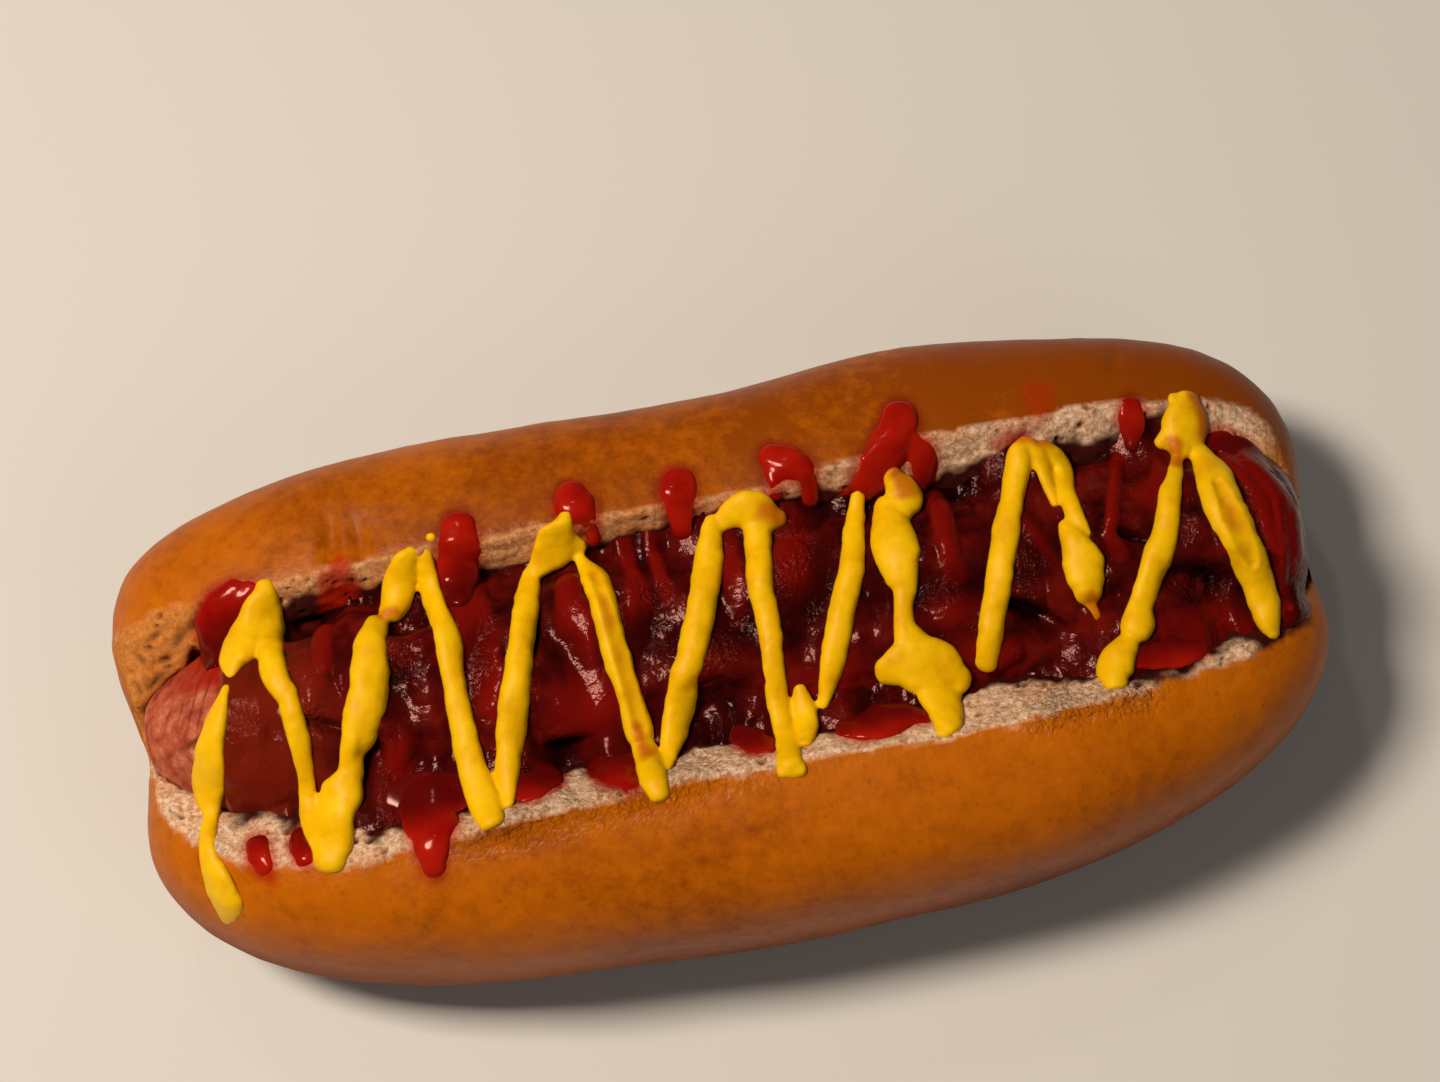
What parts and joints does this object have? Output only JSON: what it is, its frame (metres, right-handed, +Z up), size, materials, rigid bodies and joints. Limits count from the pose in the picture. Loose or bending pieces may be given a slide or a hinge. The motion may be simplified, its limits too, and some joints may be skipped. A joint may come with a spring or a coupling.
{
  "type": "hot dog",
  "caption": "Long soft bun split along its top, holding one slashed frankfurter under ketchup and a zigzag of mustard.",
  "frame": {"origin": "middle of the footprint, on the surface that the bun lies on", "axes": "+X along the bun, with the frankfurter's bare end at -X, +Y towards the far side, +Z up"},
  "size_m": [0.1658, 0.0764, 0.0465],
  "materials": {
    "crust": "soft satin baked crust, stands in for bread",
    "crumb": "matt porous crumb, stands in for bread",
    "frankfurter_skin": "glossy wrinkled skin, stands in for cooked sausage",
    "ketchup": "wet gloss, stands in for ketchup",
    "mustard": "satin, stands in for yellow mustard"
  },
  "bodies": {
    "root": {"bun": "crust", "frankfurter": "ketchup"}
  },
  "joints": []
}
